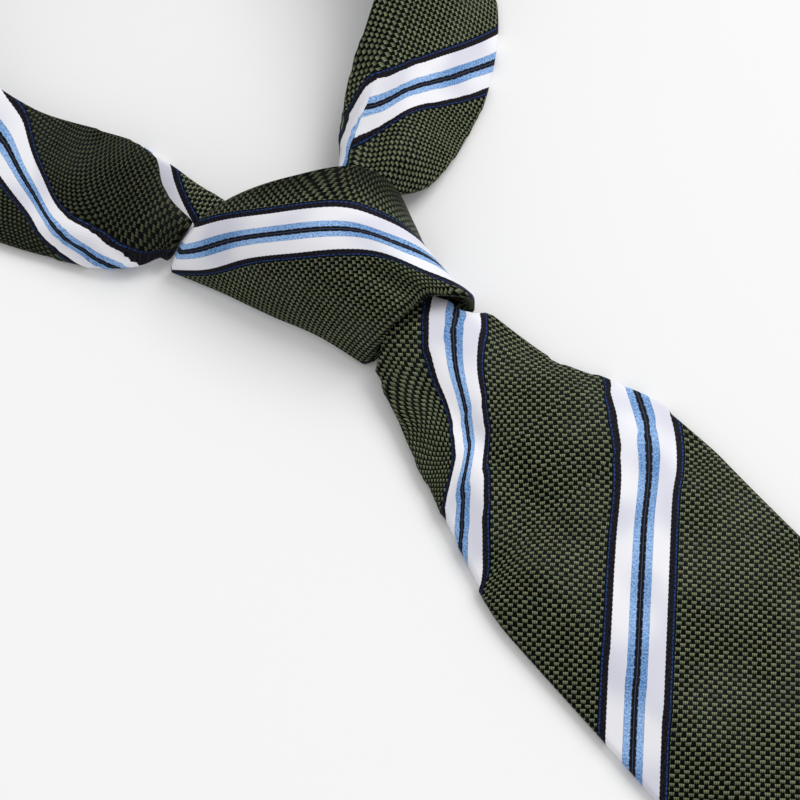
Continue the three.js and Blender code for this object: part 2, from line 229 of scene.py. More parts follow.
def cloth_place(stripes, at, off_middle):
    """Where a point lies in the woven cloth, in millimetres: across the stripes, along them."""
    across = follow(stripes, "stripe", at, False) + follow(stripes, "slant", at) * off_middle
    if "bow" in stripes:
        past = np.minimum(off_middle - BOW_FROM, 0.0)
        across = across + follow(stripes, "bow", at) * past**2 / BOW_SPREAD
    along = follow(stripes, "yarn", at, False) + follow(stripes, "yarn_slant", at) * off_middle
    return np.stack([across, along], -1)


def mesh_object(name, points, faces, places, silk):
    """A smooth mesh in metres, with the cloth's own place at each corner as its UV map."""
    mesh = bpy.data.meshes.new(name)
    mesh.from_pydata([tuple(point) for point in points * MM], [], faces)
    layer = mesh.uv_layers.new(name="cloth")
    layer.data.foreach_set("uv", np.asarray(places, dtype=np.float32).ravel())
    mesh.polygons.foreach_set("use_smooth", [True] * len(mesh.polygons))
    mesh.materials.append(silk)
    mesh.update()
    piece = bpy.data.objects.new(name, mesh)
    bpy.context.scene.collection.objects.link(piece)
    return piece


def fold_shaded(places, at, part, fold_shade):
    """The same places, but held on the dark edge of a stripe where the cloth runs into a fold:
    a painted shadow in the fold.
    """
    late = fold_shade["begins"] + fold_shade["lag"] * (1.0 - part / fold_shade["width"])
    share = ease((at - late) / fold_shade["soft"]) * ease((fold_shade["width"] - part) / fold_shade["rim"])
    held = places.copy()
    held[:, 0] += (fold_shade["stripe"] - places[:, 0]) * share
    return held


def band_piece(name, band, start, end, cloth, stripes, silk, lean=(0.0, 0.0), facet=None,
               fold_shade=None):
    """A closed padded band between two places. lean slants its ends, for a seam. facet is a range
    of the width and its own stripes, where the cloth doubles in a crease. tuck paints a shadow on
    its lower edge where it runs into a fold, by holding it on a stripe's dark edge."""
    rings = int(math.ceil((end - start) / STEP_ALONG)) + 1
    places = np.linspace(start, end, rings)
    widths = sum(follow(band, side, places) for side in ("right", "main", "left"))
    roll = cloth / 2.0 / float(np.median(widths))
    count = int(math.ceil(float(widths.max()) / STEP_ACROSS))
    rolled = [step * roll for step in ROLL_STEPS]
    across = np.array(rolled + list(np.linspace(roll, 1.0 - roll, count))
                      + [1.0 - step for step in reversed(rolled)])
    stations = len(across)
    ring_part = np.concatenate([across, across[-2:0:-1]])
    ring_side = np.concatenate([np.ones(stations), -np.ones(stations - 2)])
    size = len(ring_part)
    at, part = np.meshgrid(places, ring_part, indexing="ij")
    width = sum(follow(band, side, at) for side in ("right", "main", "left"))
    slant = lean[0] + (lean[1] - lean[0]) * (at - start) / (end - start)
    at = np.clip(at + slant * (part - 0.5) * width, 0.0, band["at"][-1])
    side = np.broadcast_to(ring_side, at.shape)
    points, width, off_middle = skin_points(band, at.ravel(), part.ravel(), side.ravel(), cloth)

    # The cloth is one sheet folded round both edges, which meet in the middle of the back.
    flat_at = at.ravel()
    flat_part = part.ravel()
    from_right = off_middle - flat_part * width
    face = cloth_place(stripes, flat_at, off_middle)
    back_right = cloth_place(stripes, flat_at, from_right - flat_part * width)
    back_left = cloth_place(stripes, flat_at, from_right + (2.0 - flat_part) * width)
    # Painted shadow: where the lower edge runs into a fold, its face is held on a stripe's dark
    # edge.
    if fold_shade:
        face = fold_shaded(face, flat_at, flat_part, fold_shade)
    low, high, facet_stripes = facet if facet else (1.0, 1.0, stripes)
    folded = cloth_place(facet_stripes, flat_at, off_middle)
    faces = []
    uv = []
    for j in range(size):
        k = (j + 1) % size
        middle = (ring_part[j] + ring_part[k]) / 2.0
        if j < stations - 1:
            source = face
        elif middle > 0.5:
            source = back_left
        else:
            source = back_right
        for i in range(rings - 1):
            corners = (i * size + j, (i + 1) * size + j, (i + 1) * size + k, i * size + k)
            faces.append(corners)
            creased = j < stations - 1 and low < middle < high
            place = folded if creased else source
            uv.extend(place[corner] for corner in corners)
    last = (rings - 1) * size
    for j in range(stations - 1):
        under = [0 if m == 0 else size - m for m in (j + 1, j)]
        under[0] = stations - 1 if j + 1 == stations - 1 else under[0]
        corners = [j, j + 1, under[0], under[1]]
        corners = list(dict.fromkeys(corners))
        faces.append(tuple(corners))
        uv.extend(face[corner] for corner in corners)
        corners = [last + corner for corner in reversed(corners)]
        faces.append(tuple(corners))
        uv.extend(face[corner] for corner in corners)
    return mesh_object(name, points, faces, uv, silk)


def number(tree, operation, *values, clamp=False):
    """A Math node on numbers or sockets. Returns its output."""
    node = tree.nodes.new("ShaderNodeMath")
    node.operation = operation
    node.use_clamp = clamp
    for i, value in enumerate(values):
        if isinstance(value, (int, float)):
            node.inputs[i].default_value = value
        else:
            tree.links.new(value, node.inputs[i])
    return node.outputs[0]


def blend_colours(tree, share, first, second):
    """second over first by a share. Colours are sockets or (r, g, b)."""
    node = tree.nodes.new("ShaderNodeMix")
    node.data_type = "RGBA"
    node.clamp_factor = True
    tree.links.new(share, node.inputs["Factor"])
    for socket, value in ((node.inputs[6], first), (node.inputs[7], second)):
        if isinstance(value, tuple):
            socket.default_value = (*value, 1.0)
        else:
            tree.links.new(value, socket)
    return node.outputs[2]


def soft_step(tree, value, at, softness):
    """0 below at and 1 above it."""
    node = tree.nodes.new("ShaderNodeMapRange")
    node.interpolation_type = "SMOOTHSTEP"
    tree.links.new(value, node.inputs["Value"])
    node.inputs["From Min"].default_value = at - softness
    node.inputs["From Max"].default_value = at + softness
    return node.outputs["Result"]


def new_group(name, inputs, outputs):
    """A shader node group with named sockets. Returns it with its input and output nodes."""
    group = bpy.data.node_groups.new(name, "ShaderNodeTree")
    for label, kind, value in inputs:
        socket = group.interface.new_socket(label, in_out="INPUT", socket_type=kind)
        if value is not None:
            socket.default_value = value
    for label, kind in outputs:
        group.interface.new_socket(label, in_out="OUTPUT", socket_type=kind)
    return group, group.nodes.new("NodeGroupInput"), group.nodes.new("NodeGroupOutput")


def inverse(tree, value):
    """1 where a mask is 0, and 0 where it is 1."""
    return number(tree, "SUBTRACT", 1.0, value)


def noise(tree, place, scale, detail, roughness=0.5):
    """A Noise Texture that is read at a place in the cloth. Returns the node."""
    node = tree.nodes.new("ShaderNodeTexNoise")
    node.inputs["Scale"].default_value = scale
    node.inputs["Detail"].default_value = detail
    node.inputs["Roughness"].default_value = roughness
    tree.links.new(place, node.inputs["Vector"])
    return node


# Sizes in the basket weave are in cells, from the middle of a float. blur is how soft an end is.
UNEVEN_WEAVE = {"scale": 0.9, "detail": 1.0, "across": 0.18, "along": 0.16}
FLOAT_WIDTH = {"half": 0.52, "blur": 0.08}
FLOAT_LENGTH = {"half": 0.43, "middle": 0.04, "blur": 0.1}
THREADS = {"apart": 0.4, "fan": -0.2}
FRAY = {"at_threads": 0.5, "at_ends": 1.2, "middle": 0.98, "limit": 0.35, "blur": 0.35}
# upper is a painted highlight: a float is brighter towards its upper end, where its curved threads
# catch the light.
FLOAT_SHADE = {"upper": 1.8, "middle": 0.86, "chance": 0.36, "least": 0.83}
THREAD_SHADE = {"depth": 0.34, "middle": 0.8}
FLOAT_HEIGHT = 0.75
BODY_HEIGHT = 0.2


def basket_weave():
    """Short floats of three pale threads between black ones, as a chequer. Outputs where the pale
    threads lie, their shade and tint from float to float with a painted highlight towards each
    float's upper end, and the height of the weave."""
    group, given, result = new_group(
        "basket weave",
        [("Cloth", "NodeSocketVector", None), ("Cell", "NodeSocketFloat", 0.9)],
        [("Float", "NodeSocketFloat"), ("Shade", "NodeSocketFloat"), ("Tint", "NodeSocketFloat"),
         ("Height", "NodeSocketFloat")])
    parts = group.nodes.new("ShaderNodeSeparateXYZ")
    group.links.new(given.outputs["Cloth"], parts.inputs[0])
    cell = given.outputs["Cell"]
    uneven = noise(group, given.outputs["Cloth"], UNEVEN_WEAVE["scale"], UNEVEN_WEAVE["detail"])
    drift = group.nodes.new("ShaderNodeSeparateColor")
    group.links.new(uneven.outputs["Color"], drift.inputs[0])
    column = number(group, "DIVIDE", parts.outputs["X"], cell)
    column = number(group, "MULTIPLY_ADD", drift.outputs["Red"], UNEVEN_WEAVE["across"], column)
    line = number(group, "DIVIDE", parts.outputs["Y"], cell)
    line = number(group, "MULTIPLY_ADD", drift.outputs["Green"], UNEVEN_WEAVE["along"], line)
    line_index = number(group, "FLOOR", line)
    shifted = number(group, "MULTIPLY", number(group, "ADD", column, line_index), 0.5)
    across = number(group, "MULTIPLY_ADD", number(group, "FRACT", shifted), 2.0, -1.0)
    along = number(group, "SUBTRACT", number(group, "FRACT", line), 0.5)

    # The threads of a float are held together at its lower end and fan out towards its upper one.
    fan = number(group, "MULTIPLY", across, number(
        group, "MULTIPLY_ADD", along, THREADS["fan"], 1.0))
    threads = number(group, "COSINE", number(
        group, "MULTIPLY", fan, 2.0 * math.pi / THREADS["apart"]))
    beside = inverse(group, soft_step(
        group, number(group, "ABSOLUTE", fan), FLOAT_WIDTH["half"], FLOAT_WIDTH["blur"]))
    raised = number(group, "ABSOLUTE", number(group, "SUBTRACT", along, FLOAT_LENGTH["middle"]))
    within = inverse(group, soft_step(
        group, raised, FLOAT_LENGTH["half"], FLOAT_LENGTH["blur"]))
    frayed = number(group, "MULTIPLY_ADD", threads, FRAY["at_threads"], number(
        group, "MULTIPLY_ADD", along, FRAY["at_ends"], FRAY["middle"]))
    body = number(group, "MULTIPLY", beside, within)
    pale = number(group, "MULTIPLY", body, soft_step(group, frayed, FRAY["limit"], FRAY["blur"]))

    # Each float has a shade and a tint of its own, and a painted highlight makes it brighter
    # towards its upper end.
    index = group.nodes.new("ShaderNodeCombineXYZ")
    group.links.new(number(group, "FLOOR", shifted), index.inputs["X"])
    group.links.new(line_index, index.inputs["Y"])
    chance = group.nodes.new("ShaderNodeTexWhiteNoise")
    chance.noise_dimensions = "2D"
    group.links.new(index.outputs[0], chance.inputs["Vector"])
    tint = group.nodes.new("ShaderNodeSeparateColor")
    group.links.new(chance.outputs["Color"], tint.inputs[0])
    upper = number(group, "MULTIPLY_ADD", along, FLOAT_SHADE["upper"], FLOAT_SHADE["middle"])
    shade = number(group, "MULTIPLY", number(
        group, "MULTIPLY_ADD", chance.outputs["Value"], FLOAT_SHADE["chance"],
        FLOAT_SHADE["least"]), upper)
    shade = number(group, "MULTIPLY", shade, number(
        group, "MULTIPLY_ADD", threads, THREAD_SHADE["depth"], THREAD_SHADE["middle"]))
    height = number(group, "MULTIPLY_ADD", pale, FLOAT_HEIGHT, number(
        group, "MULTIPLY", within, BODY_HEIGHT))
    for label, value in (("Float", pale), ("Shade", shade), ("Tint", tint.outputs["Green"]),
                         ("Height", height)):
        group.links.new(value, result.inputs[label])
    return group


# Sizes in the stripe are in millimetres from the middle of its core, and places along a stitch
# are shares of its length.
STITCH = 0.93
STRIPE_EDGES = {"core": 0.6, "blue": 1.82, "white": 4.85, "edge": 5.92, "dots": 6.18,
                "outer": 6.45}
EDGE_BLUR = 0.06
STRIPE_RIPPLE = {"scale": 1.5, "detail": 3.0, "width": 0.1}
SCALLOP = {"depth": 0.08, "inset": 0.05}
DOT_GAP = {"from": 0.34, "blur": 0.1, "faded": 0.7}
CROSSING = {"half": 0.09, "blur": 0.06, "from_rim": 0.14, "rim_blur": 0.08, "strength": 0.5}
CORE_THREAD = {"half": 0.05, "blur": 0.05, "strength": 0.16}
TWILL = {"slant": 0.8, "apart": 0.42}


def beat(tree, along, length):
    """How far a point is from the middle of its stitch, as a part of the stitch's length."""
    place = number(tree, "FLOORED_MODULO", number(tree, "DIVIDE", along, length), 1.0)
    return number(tree, "ABSOLUTE", number(tree, "SUBTRACT", place, 0.5))


def stripe_bands():
    """The woven stripe: from its black core outwards blue, white satin, a dark edge and a broken
    blue line. Outputs a mask for each, for the pale stitches on the core's rim and for the ground
    outside, and the fine twill of the satin."""
    group, given, result = new_group(
        "stripe bands",
        [("Cloth", "NodeSocketVector", None), ("Pitch", "NodeSocketFloat", 35.0)],
        [("Core", "NodeSocketFloat"), ("Blue", "NodeSocketFloat"), ("White", "NodeSocketFloat"),
         ("Edge", "NodeSocketFloat"), ("Dots", "NodeSocketFloat"), ("Stitch", "NodeSocketFloat"),
         ("Ground", "NodeSocketFloat"), ("Twill", "NodeSocketFloat")])
    parts = group.nodes.new("ShaderNodeSeparateXYZ")
    group.links.new(given.outputs["Cloth"], parts.inputs[0])
    pitch = given.outputs["Pitch"]
    half = number(group, "MULTIPLY", pitch, 0.5)
    moved = number(group, "ADD", parts.outputs["X"], half)
    off = number(group, "SUBTRACT", number(group, "FLOORED_MODULO", moved, pitch), half)
    along = parts.outputs["Y"]
    ripple = noise(group, given.outputs["Cloth"], STRIPE_RIPPLE["scale"], STRIPE_RIPPLE["detail"])
    waver = number(group, "MULTIPLY_ADD", ripple.outputs["Fac"], STRIPE_RIPPLE["width"],
                   -STRIPE_RIPPLE["width"] / 2.0)
    out = number(group, "ADD", number(group, "ABSOLUTE", off), waver)
    scallop = number(group, "ABSOLUTE", number(group, "SINE", number(
        group, "MULTIPLY", along, math.pi / STITCH)))
    scalloped = number(group, "MULTIPLY_ADD", scallop, SCALLOP["depth"], number(
        group, "SUBTRACT", out, SCALLOP["inset"]))

    # The inner edges are plain. From the white's outer edge on, each follows the stitches.
    edges = [soft_step(group, out if label in ("core", "blue") else scalloped, at, EDGE_BLUR)
             for label, at in STRIPE_EDGES.items()]
    core = inverse(group, edges[0])
    blue, white, edge, line = [number(group, "SUBTRACT", edges[i], edges[i + 1])
                               for i in range(4)]
    dots = number(group, "MULTIPLY", line, number(
        group, "MULTIPLY_ADD", soft_step(
            group, beat(group, along, STITCH), DOT_GAP["from"], DOT_GAP["blur"]),
        -DOT_GAP["faded"], 1.0))
    rim = number(group, "ABSOLUTE", number(group, "SUBTRACT", out, STRIPE_EDGES["core"]))
    crossing = number(
        group, "MULTIPLY",
        inverse(group, soft_step(group, beat(group, along, 2.0 * STITCH), CROSSING["half"],
                                 CROSSING["blur"])),
        inverse(group, soft_step(group, rim, CROSSING["from_rim"], CROSSING["rim_blur"])))
    thread = number(group, "ABSOLUTE", number(group, "ADD", off, waver))
    thread = number(group, "MULTIPLY", inverse(group, soft_step(
        group, thread, CORE_THREAD["half"], CORE_THREAD["blur"])), CORE_THREAD["strength"])
    stitch = number(group, "MAXIMUM", number(
        group, "MULTIPLY", crossing, CROSSING["strength"]), thread)
    slanted = number(group, "ADD", along, number(
        group, "MULTIPLY", parts.outputs["X"], TWILL["slant"]))
    twill = number(group, "MULTIPLY_ADD", number(group, "SINE", number(
        group, "MULTIPLY", slanted, 2.0 * math.pi / TWILL["apart"])), 0.5, 0.5)
    for label, value in (("Core", core), ("Blue", blue), ("White", white), ("Edge", edge),
                         ("Dots", dots), ("Stitch", stitch), ("Ground", edges[5]),
                         ("Twill", twill)):
        group.links.new(value, result.inputs[label])
    return group


WEAVE = basket_weave()
STRIPES = stripe_bands()

# The yarns. A pair is the colour in the hollows and on the crowns of the threads, a fine painted
# shade and highlight. The grey is a painted sheen on the dark threads.
PALE_YARN = (0.172, 0.190, 0.106)
GREEN_YARN = (0.145, 0.182, 0.104)
DARK_YARN = (0.0010, 0.0012, 0.0009)
SHEEN_GREY = (0.015, 0.015, 0.017)
GROUND_EDGE = (0.003, 0.003, 0.004)
BLACK_YARN = ((0.002, 0.002, 0.004), (0.017, 0.015, 0.020))
LINE_YARN = ((0.004, 0.009, 0.040), (0.026, 0.072, 0.25))
DEEP_BLUE = ((0.048, 0.125, 0.32), (0.20, 0.38, 0.66))
LIGHT_BLUE = ((0.13, 0.26, 0.53), (0.38, 0.57, 0.86))
STITCH_BLUE = (0.30, 0.46, 0.76)
WHITE_SATIN = (0.84, 0.84, 0.87)
SHADED_SATIN = (0.54, 0.54, 0.65)

# Changes of tone over the cloth: single threads, patches of the weave and clouds in the satin.
SPECKLE = {"scale": 2.6, "detail": 3.0, "roughness": 0.7}
MOTTLE = {"scale": 0.05, "detail": 3.0}
CLOUD = {"scale": 0.09, "detail": 0.0}
THREAD_CROWN = (0.5, 0.14)
GLINT_FROM = (0.54, 0.1)
CLOUD_FROM = (0.52, 0.16)
MOTTLE_TONE = (0.5, 0.75)
SATIN_CLOUD = 0.55
SATIN_TWILL = 0.28

# From the knot, in metres: where the painted shade on threads that turn away from the light ends,
# and how softly.
PAINTED_SHADE_REACH = (0.125, 0.03)

# How rough the ground is and how much smoother its satin and floats are, how high each yarn
# stands in shares of the bump's distance, and the little gloss and sheen of the silk.
ROUGH_CLOTH = 0.5
ROUGH_SATIN_LESS = 0.08
ROUGH_FLOAT_LESS = 0.06
SATIN_HEIGHT = 0.75
TWILL_HEIGHT = 0.12
DARK_BAND_HEIGHT = 0.4
BUMP_STRENGTH = 0.8
BUMP_METRES = 0.00014
GLOSS = 0.03
SHEEN = 0.01
SHEEN_ROUGHNESS = 0.4


def striped_silk(name, cell, pitch, tone=1.0, shade_near_knot=1.0, shade_past=None):
    """Olive basket-weave silk with the woven stripe, read from the cloth's own place in mm. cell
    is the size of a float, pitch the distance from stripe to stripe, tone how bright the yarn is,
    with a painted sheen and shade that differ from piece to piece. near paints shade on the yarn
    towards the knot, where a strap's threads turn away from the light, and dim paints shade past a
    place across the stripes: the place, how soft its edge is, and how much."""
    material = bpy.data.materials.new(name)
    material.use_nodes = True
    tree = material.node_tree
    shader = tree.nodes["Principled BSDF"]
    place = tree.nodes.new("ShaderNodeUVMap")
    place.uv_map = "cloth"
    cloth = place.outputs[0]
    weave = tree.nodes.new("ShaderNodeGroup")
    weave.node_tree = WEAVE
    stripe = tree.nodes.new("ShaderNodeGroup")
    stripe.node_tree = STRIPES
    tree.links.new(cloth, weave.inputs["Cloth"])
    tree.links.new(cloth, stripe.inputs["Cloth"])
    weave.inputs["Cell"].default_value = cell
    stripe.inputs["Pitch"].default_value = pitch
    speckle = noise(tree, cloth, **SPECKLE)
    mottle = noise(tree, cloth, **MOTTLE)
    cloud = noise(tree, cloth, **CLOUD)

    # The pale floats, each with its own brightness.
    bright = number(tree, "MULTIPLY", weave.outputs["Shade"], number(
        tree, "MULTIPLY_ADD", mottle.outputs["Fac"], *MOTTLE_TONE))
    # Painted shade: the yarn is darker towards the knot, where a strap's threads turn away from the
    # light.
    if shade_near_knot < 1.0:
        position = tree.nodes.new("ShaderNodeTexCoord")
        from_knot = tree.nodes.new("ShaderNodeVectorMath")
        from_knot.operation = "LENGTH"
        tree.links.new(position.outputs["Object"], from_knot.inputs[0])
        away = soft_step(tree, from_knot.outputs["Value"], *PAINTED_SHADE_REACH)
        bright = number(tree, "MULTIPLY", bright, number(
            tree, "MULTIPLY_ADD", away, 1.0 - shade_near_knot, shade_near_knot))
    # Painted shade: past a place across the stripes the yarn is darker, where the upper part of the
    # knot turns away from the light.
    if shade_past:
        shade_at, shade_blur, shade_share = shade_past
        parts = tree.nodes.new("ShaderNodeSeparateXYZ")
        tree.links.new(cloth, parts.inputs[0])
        past = soft_step(tree, parts.outputs["X"], shade_at, shade_blur)
        bright = number(tree, "MULTIPLY", bright, number(
            tree, "MULTIPLY_ADD", past, -shade_share, 1.0))
    grey = tree.nodes.new("ShaderNodeCombineColor")
    for socket in ("Red", "Green", "Blue"):
        tree.links.new(bright, grey.inputs[socket])
    lit = tree.nodes.new("ShaderNodeMix")
    lit.data_type = "RGBA"
    lit.blend_type = "MULTIPLY"
    lit.inputs["Factor"].default_value = 1.0
    # tone is the yarn's brightness on this piece. Its differences from piece to piece are a painted
    # sheen and shade, for how the light falls on each piece.
    pale = tuple(channel * tone for channel in PALE_YARN)
    green = tuple(channel * tone for channel in GREEN_YARN)
    tree.links.new(blend_colours(tree, weave.outputs["Tint"], pale, green), lit.inputs[6])
    tree.links.new(grey.outputs[0], lit.inputs[7])

    # The colours of the stripe, over the weave from its edge to its core.
    fine = soft_step(tree, speckle.outputs["Fac"], *THREAD_CROWN)
    # Painted sheen: in patches the dark threads take a grey glint.
    glint = number(tree, "MULTIPLY", soft_step(tree, mottle.outputs["Fac"], *GLINT_FROM), fine)
    dark = blend_colours(tree, glint, DARK_YARN, SHEEN_GREY)
    # Painted shade: in soft clouds the white satin is shaded lavender grey and the blue is deeper,
    # and the twill's fine lines take a little of the same shade.
    clouded = soft_step(tree, cloud.outputs["Fac"], *CLOUD_FROM)
    blue = blend_colours(tree, clouded, blend_colours(tree, fine, *LIGHT_BLUE),
                         blend_colours(tree, fine, *DEEP_BLUE))
    shaded = number(tree, "MULTIPLY_ADD", clouded, SATIN_CLOUD, number(
        tree, "MULTIPLY", stripe.outputs["Twill"], SATIN_TWILL))
    satin = blend_colours(tree, shaded, WHITE_SATIN, SHADED_SATIN)
    dark_band = number(tree, "ADD", stripe.outputs["Core"], stripe.outputs["Edge"])
    colour = blend_colours(tree, weave.outputs["Float"], dark, lit.outputs[2])
    colour = blend_colours(tree, stripe.outputs["Ground"], GROUND_EDGE, colour)
    colour = blend_colours(tree, dark_band, colour, blend_colours(tree, fine, *BLACK_YARN))
    colour = blend_colours(tree, stripe.outputs["Dots"], colour,
                           blend_colours(tree, fine, *LINE_YARN))
    colour = blend_colours(tree, stripe.outputs["Blue"], colour, blue)
    colour = blend_colours(tree, stripe.outputs["White"], colour, satin)
    colour = blend_colours(tree, stripe.outputs["Stitch"], colour, STITCH_BLUE)
    tree.links.new(colour, shader.inputs["Base Color"])

    # Satin and floats are smoother than the ground. Each yarn stands at its own height.
    smooth_yarn = number(tree, "MAXIMUM", stripe.outputs["White"], stripe.outputs["Blue"])
    rough = number(tree, "MULTIPLY_ADD", smooth_yarn, -ROUGH_SATIN_LESS, ROUGH_CLOTH)
    rough = number(tree, "MULTIPLY_ADD", weave.outputs["Float"], -ROUGH_FLOAT_LESS, rough)
    tree.links.new(rough, shader.inputs["Roughness"])
    weave_height = number(tree, "MULTIPLY", weave.outputs["Height"], stripe.outputs["Ground"])
    satin_height = number(
        tree, "MULTIPLY_ADD", stripe.outputs["Twill"], TWILL_HEIGHT, SATIN_HEIGHT)
    satin_height = number(tree, "MULTIPLY", satin_height, smooth_yarn)
    height = number(tree, "ADD", weave_height, satin_height)
    height = number(tree, "MULTIPLY_ADD", dark_band, DARK_BAND_HEIGHT, height)
    bump = tree.nodes.new("ShaderNodeBump")
    bump.inputs["Strength"].default_value = BUMP_STRENGTH
    bump.inputs["Distance"].default_value = BUMP_METRES
    tree.links.new(height, bump.inputs["Height"])
    tree.links.new(bump.outputs[0], shader.inputs["Normal"])
    shader.inputs["Specular IOR Level"].default_value = GLOSS
    shader.inputs["Sheen Weight"].default_value = SHEEN
    shader.inputs["Sheen Roughness"].default_value = SHEEN_ROUGHNESS
    return material


def finish_band(piece, node):
    """Every stretch of the tie is a folded sheet on the table that stands for its solid."""
    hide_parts(node)
    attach(piece, "root")


silk = striped_silk("olive striped silk", cell=0.84, pitch=35.0, tone=0.8)

blade_band = band_of(with_point(BLADE_ROWS, BLADE_HALF_WIDTH))
blade = band_piece("blade_silk", blade_band, 0.0, blade_band["at"][-1], CLOTH,
                   stripes_of(STRIPE_COLUMNS, BLADE_STRIPES), silk)
finish_band(blade, "front_blade")

# TAIL BLADE
# The narrow end, folded from the same silk over a thinner interlining. It comes out of the knot
# behind the wide end and lies flat on the table under it.

TAIL_CLOTH = 2.4
TAIL_HALF_WIDTH = 19.0
TAIL_ROWS = [
    (1.0, 2, 2, 8, 2, 0, 0, 0, 0, 0, 8, 3.0),
    (1.4, -24.5, 2, 6, 2, 0, 0, 0, 0, 0, 8, 3.0),
    (0.5, -34, 2, 9, 2, 0, 0, 0, 0, 0, 8, 0.4),
    (0.4, -44, 2, 15, 2, 0, 0, 0, 0, 0, 8, 0),
    (0, -80, 2, 24, 2, 0, 0, 0, 0, 0, 8, 0),
    (0, -332, 2, 34, 2, 0, 0, 0, 0, 0, 8, 0),
]
TAIL_STRIPES = [(0, 9.0, 0.7, 0.0), (400, 289.0, 0.7, 0.0)]
tail_band = band_of(with_point(TAIL_ROWS, TAIL_HALF_WIDTH))
tail = band_piece("tail_silk", tail_band, 0.0, tail_band["at"][-1], TAIL_CLOTH,
                  stripes_of(STRIPE_COLUMNS, TAIL_STRIPES), silk)
finish_band(tail, "tail_blade")

# NECK LOOP
# One narrow band that goes round the neck, sewn together from three lengths at slanting seams. It
# leaves the knot as a folded strap on each side and stands on its edge at the back.

NECK_ROWS = [
    (6.5, 5.2, 2, 5, 1, 25, 15, -10, 10, 0, 8, 8.9),
    (13.0, 7.8, 3.2, 6, 3.4, 48, 20, -40, 20, 2.0, 8.5, 6.9),
    (22.0, 11.0, 9, 11, 7, 48, 18, -50, 26, 2.8, 17.5, 2.2),
    (31.4, 16.2, 12, 12, 7.8, 44, 24, -40, 24, 1.4, 21, 0.6),
    (42.4, 22.2, 12, 14, 6, 42, 31, 0, 16, 0.3, 24, 0),
    (54.2, 30.8, 12, 14, 6, 46, 38, 26, 12, 0, 24, 0),
    (73, 53, 10, 12, 10, 66, 60, 52, 10, 0, 16, 0),
    (82, 82, 10, 12, 10, 78, 74, 70, 8, 0, 16, 0),
    (77, 117, 10, 12, 10, 80, 78, 76, 6, 0, 16, 0),
    (55, 146, 10, 12, 10, 80, 78, 76, 6, 0, 16, 0),
    (20, 158, 10, 12, 10, 80, 78, 76, 6, 0, 16, 0),
    (-15, 150, 10, 12, 10, 79, 76, 72, 6, 0, 16, 0),
    (-39, 126, 10, 12, 10, 70, 62, 54, 8, 0, 16, 0),
    (-47, 95, 8, 14, 9, 50, 36, 24, 10, 0, 16, 0),
    (-39.8, 63.6, 5.4, 18.5, 5.5, 34, 10, 2, 14, 0, 12, 0),
    (-28.6, 42.0, 7, 16.5, 6.2, 48, 8, -4, 14, 0.8, 9, 0.4),
    (-25.8, 36.2, 8.4, 13, 5.6, 54, 9, -9, 16, 2.4, 7.5, 1.0),
    (-24.4, 33, 9, 9.6, 2.8, 56, 10, -12, 16, 3.0, 6, 1.6),
    (-21.9, 27.4, 6, 4, 1.5, 52, 30, -10, 16, 2.0, 4, 2.2),
    (-21.6, 25, 5, 4, 1.5, 50, 32, 0, 10, 0, 8, 2.4),
]

# Where the two seams lie along the band, as shares of its length, and half the gap in each.
NECK_SEAMS = (0.34, 0.62)
SEAM_GAP = 0.24
NECK_RIGHT_STRIPES = [
    (0, -19.4, 1.228, 0.0),
    (10, -13.0, 1.161, 0.0),
    (18, -9.5, 1.076, 0.0),
    (26, -2.6, 0.945, 0.0),
    (36, 5.1, 0.776, 0.0),
    (48, 14.0, 0.692, 0.0),
    (62, 25.6, 0.670, 0.0),
    (80, 40.4, 0.680, 0.0),
    (136, 82.0, 0.700, 0.0),
]

# Near the knot the strap is creased, and its left-hand panel starts elsewhere in the stripes.
STRAP_CREASE = 0.74
STRAP_FACET_STRIPES = [
    (0, -3.5, 1.7, 0.0),
    (9, -6.0, 1.5, 0.0),
    (13, -6.3, 1.22, 0.0),
    (18, -5.5, 1.1, 0.0),
    (22, -2.6, 0.80, 0.0),
    (24, -1.6, 0.78, 0.0),
    (28, -0.1, 0.80, 0.0),
    (36, 5.1, 0.776, 0.0),
    (48, 14.0, 0.692, 0.0),
    (62, 25.6, 0.670, 0.0),
    (80, 40.4, 0.680, 0.0),
    (136, 82.0, 0.700, 0.0),
]
NECK_BACK_STRIPES = [(130, 4.0, 0.7, 0.0), (250, 88.0, 0.7, 0.0)]
NECK_LEFT_STRIPES = [
    (248, -69.6, 0.700, 0.0),
    (300, -35.3, 0.699, 0.0),
    (330, -16.4, 0.700, -0.075),
    (348, -6.1, 0.713, -0.185),
    (358, -2.5, 0.748, -0.293),
    (366, 4.0, 0.773, -0.391),
    (374, 12.4, 0.842, -0.356),
    (384, 12.7, 0.917, -0.077),
    (392, 11.6, 0.947, 0.100),
    (400, 10.5, 0.952, 0.200),
]

# The lower edge of the left strap tucks under at the knot. Painted shadow: there its cloth is
# held on the dark edge of a stripe.
PAINTED_FOLD_SHADE = {"width": 0.33, "begins": 386.5, "lag": 4.5, "soft": 3.0, "rim": 0.08, "stripe": 5.4}
neck_band = band_of(NECK_ROWS)
neck_length = neck_band["at"][-1]
seams = [part * neck_length for part in NECK_SEAMS]
strap_silk = striped_silk("drawn striped silk", cell=0.82, pitch=42.0, tone=0.93)
